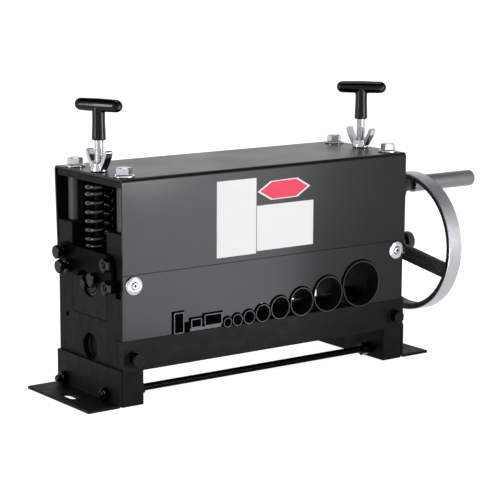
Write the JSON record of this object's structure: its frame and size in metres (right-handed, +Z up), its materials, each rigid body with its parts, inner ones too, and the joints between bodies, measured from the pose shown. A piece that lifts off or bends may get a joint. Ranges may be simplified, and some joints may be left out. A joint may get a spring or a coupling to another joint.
{
  "type": "hand crank wire stripper",
  "caption": "Bench machine that strips scrap cable: guides in the front lead the cable between round blades, turned by a handwheel, and a grooved roller.",
  "frame": {"origin": "middle of the bounding box at the base, on the bench", "axes": "+X along the machine from the left end to the handwheel and its grip, +Y from the guides to the back, +Z up"},
  "size_m": [0.4554, 0.1262, 0.243],
  "materials": {
    "black_paint": "semi-gloss black paint on steel plate",
    "black_steel": "black oxide steel",
    "zinc_plate": "bright zinc plate",
    "machined_steel": "turned bright steel",
    "spring_steel": "drawn spring wire",
    "tool_steel": "ground tool steel",
    "bronze": "plain bearing bronze",
    "cast_iron": "rough cast, painted black, with a turned rim",
    "gloss_black": "glossy black moulding"
  },
  "bodies": {
    "frame": {"left_end_frame": "black_paint", "right_end_frame": "black_paint", "left_foot_bracket": "black_paint", "right_foot_bracket": "black_paint", "tie_rod": "black_steel", "left_back_stud": "black_steel", "right_back_stud": "black_steel", "front_rail": "black_paint", "left_rail_bolt": "black_steel", "right_rail_bolt": "black_steel", "lower_front_plate": "black_paint", "left_panel_screw": "zinc_plate", "right_panel_screw": "zinc_plate", "guide_packing_strip": "machined_steel", "guide_tube_1": "black_steel", "guide_tube_2": "black_steel", "guide_tube_3": "black_steel", "guide_tube_4": "black_steel", "guide_tube_5": "black_steel", "guide_tube_6": "black_steel", "guide_tube_7": "black_steel", "guide_tube_8": "black_steel", "wide_flat_guide": "black_steel", "small_flat_guide": "black_steel", "upright_flat_guide": "black_steel", "cover": "black_paint", "left_top_bar": "black_paint", "right_top_bar": "black_paint", "left_front_top_spacer": "machined_steel", "right_front_top_spacer": "machined_steel", "left_back_top_spacer": "machined_steel", "right_back_top_spacer": "machined_steel", "left_front_top_bolt": "zinc_plate", "right_front_top_bolt": "zinc_plate", "left_back_top_bolt": "zinc_plate", "right_back_top_bolt": "zinc_plate", "left_roller_bush": "bronze", "right_roller_bush": "bronze", "left_spring": "spring_steel", "right_spring": "spring_steel"},
    "carriage": {"left_bearing_block": "black_paint", "right_bearing_block": "black_paint", "left_shaft_bush": "bronze", "right_shaft_bush": "bronze", "left_keeper_plate": "black_paint", "right_keeper_plate": "black_paint"},
    "blade_shaft": {"blade_shaft": "machined_steel", "round_blades": "tool_steel", "handwheel": "cast_iron", "wheel_grub_screw": "black_steel", "shaft_end_cap": "cast_iron", "crank_spindle": "zinc_plate"},
    "crank_grip": {"crank_grip": "machined_steel"},
    "feed_roller": {"feed_roller": "machined_steel"},
    "left_screw": {"left_adjusting_screw": "zinc_plate", "left_t_handle": "gloss_black"},
    "right_screw": {"right_adjusting_screw": "zinc_plate", "right_t_handle": "gloss_black"},
    "left_wing_nut": {"left_wing_nut": "zinc_plate"},
    "right_wing_nut": {"right_wing_nut": "zinc_plate"}
  },
  "joints": [
    {"name": "carriage_slide", "type": "slide", "parent": "frame", "child": "carriage", "axis": [0, 0, 1], "range_m": [0, 0.028], "deforming": ["left_spring", "right_spring"]},
    {"name": "left_screw_turn", "type": "hinge", "parent": "carriage", "child": "left_screw", "pos_m": [-0.18595, 0, 0.1196], "axis": [0, 0, 1], "range_deg": [0, 8064]},
    {"name": "right_screw_turn", "type": "hinge", "parent": "carriage", "child": "right_screw", "pos_m": [0.08595, 0, 0.1196], "axis": [0, 0, 1], "range_deg": [0, 8064]},
    {"name": "left_wing_nut_turn", "type": "hinge", "parent": "frame", "child": "left_wing_nut", "pos_m": [-0.18595, 0, 0.1843], "axis": [0, 0, 1], "range_deg": [0, 180]},
    {"name": "right_wing_nut_turn", "type": "hinge", "parent": "frame", "child": "right_wing_nut", "pos_m": [0.08595, 0, 0.1843], "axis": [0, 0, 1], "range_deg": [0, 180]},
    {"name": "blade_shaft_turn", "type": "hinge", "parent": "carriage", "child": "blade_shaft", "pos_m": [-0.05, 0, 0.0938], "axis": [1, 0, 0], "continuous": true},
    {"name": "crank_grip_turn", "type": "hinge", "parent": "blade_shaft", "child": "crank_grip", "pos_m": [0.1899, 0.00801, 0.14437], "axis": [1, 0, 0], "continuous": true},
    {"name": "feed_roller_turn", "type": "hinge", "parent": "frame", "child": "feed_roller", "pos_m": [-0.05, 0, 0.0413], "axis": [1, 0, 0], "continuous": true}
  ],
  "couplings": [
    {"joint": "left_screw_turn", "follows": "carriage_slide", "rad_per_m": 5026.5},
    {"joint": "right_screw_turn", "follows": "carriage_slide", "rad_per_m": 5026.5}
  ]
}
